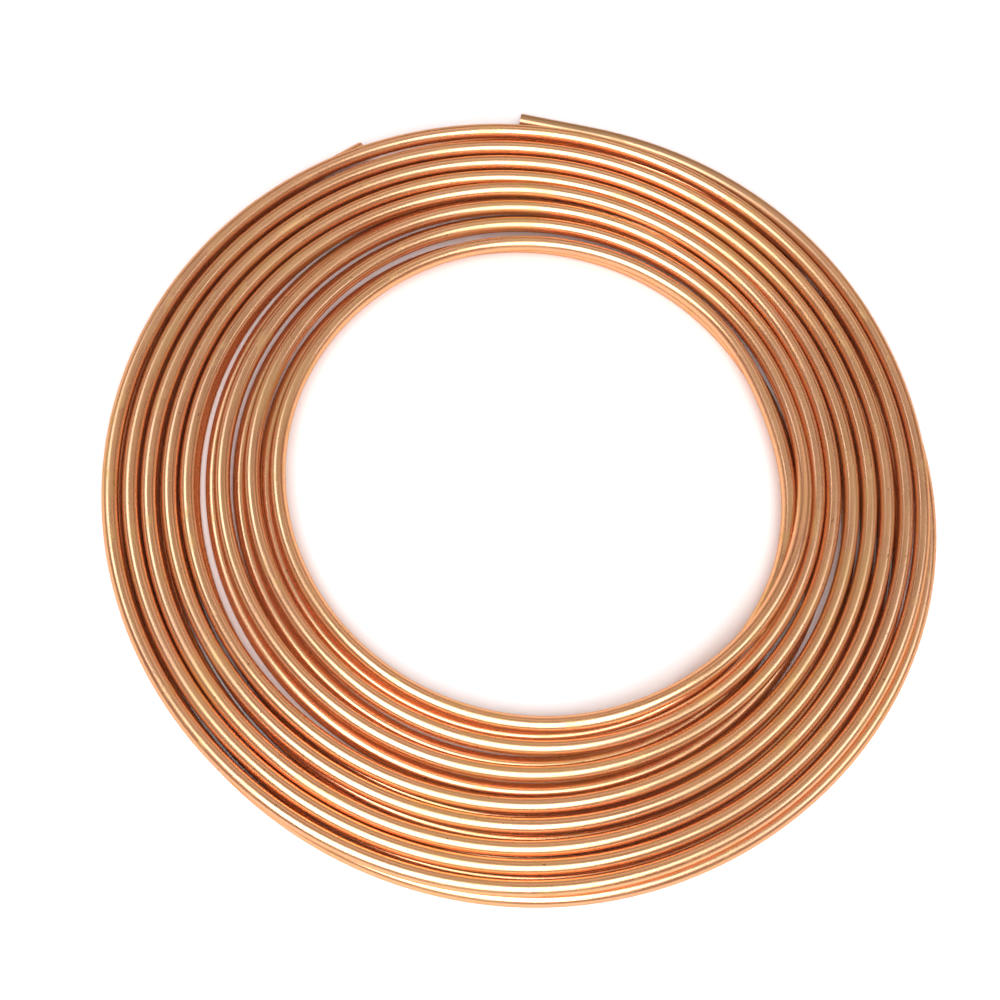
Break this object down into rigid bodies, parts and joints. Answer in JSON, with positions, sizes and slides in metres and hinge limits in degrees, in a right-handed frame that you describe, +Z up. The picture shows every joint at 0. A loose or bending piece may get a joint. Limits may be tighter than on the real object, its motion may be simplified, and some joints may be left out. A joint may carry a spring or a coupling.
{
  "type": "immersion wort chiller coil",
  "caption": "Two-layer flat spiral coil of bare soft copper tube with two open square-cut ends, for cooling hot liquid with water that runs through it.",
  "frame": {"origin": "middle of the coil's footprint, on the surface it lies on", "axes": "+Z up, across the two layers; +X and +Y in the plane of the coil, with the upper end of the tube at the +Y edge pointing to -X"},
  "size_m": [0.5088, 0.5102, 0.0289],
  "materials": {
    "copper": "bright drawn soft copper with light tarnish"
  },
  "bodies": {
    "root": {"upper_tip": "copper", "upper_turn_1": "copper", "upper_turn_2": "copper", "upper_turn_3": "copper", "upper_turn_4": "copper", "upper_turn_5": "copper", "upper_turn_6": "copper", "upper_turn_7": "copper", "upper_turn_8": "copper", "crossover": "copper", "lower_turn_1": "copper", "lower_turn_2": "copper", "lower_turn_3": "copper", "lower_turn_4": "copper", "lower_turn_5": "copper", "lower_turn_6": "copper", "lower_turn_7": "copper", "lower_tip": "copper"}
  },
  "joints": []
}
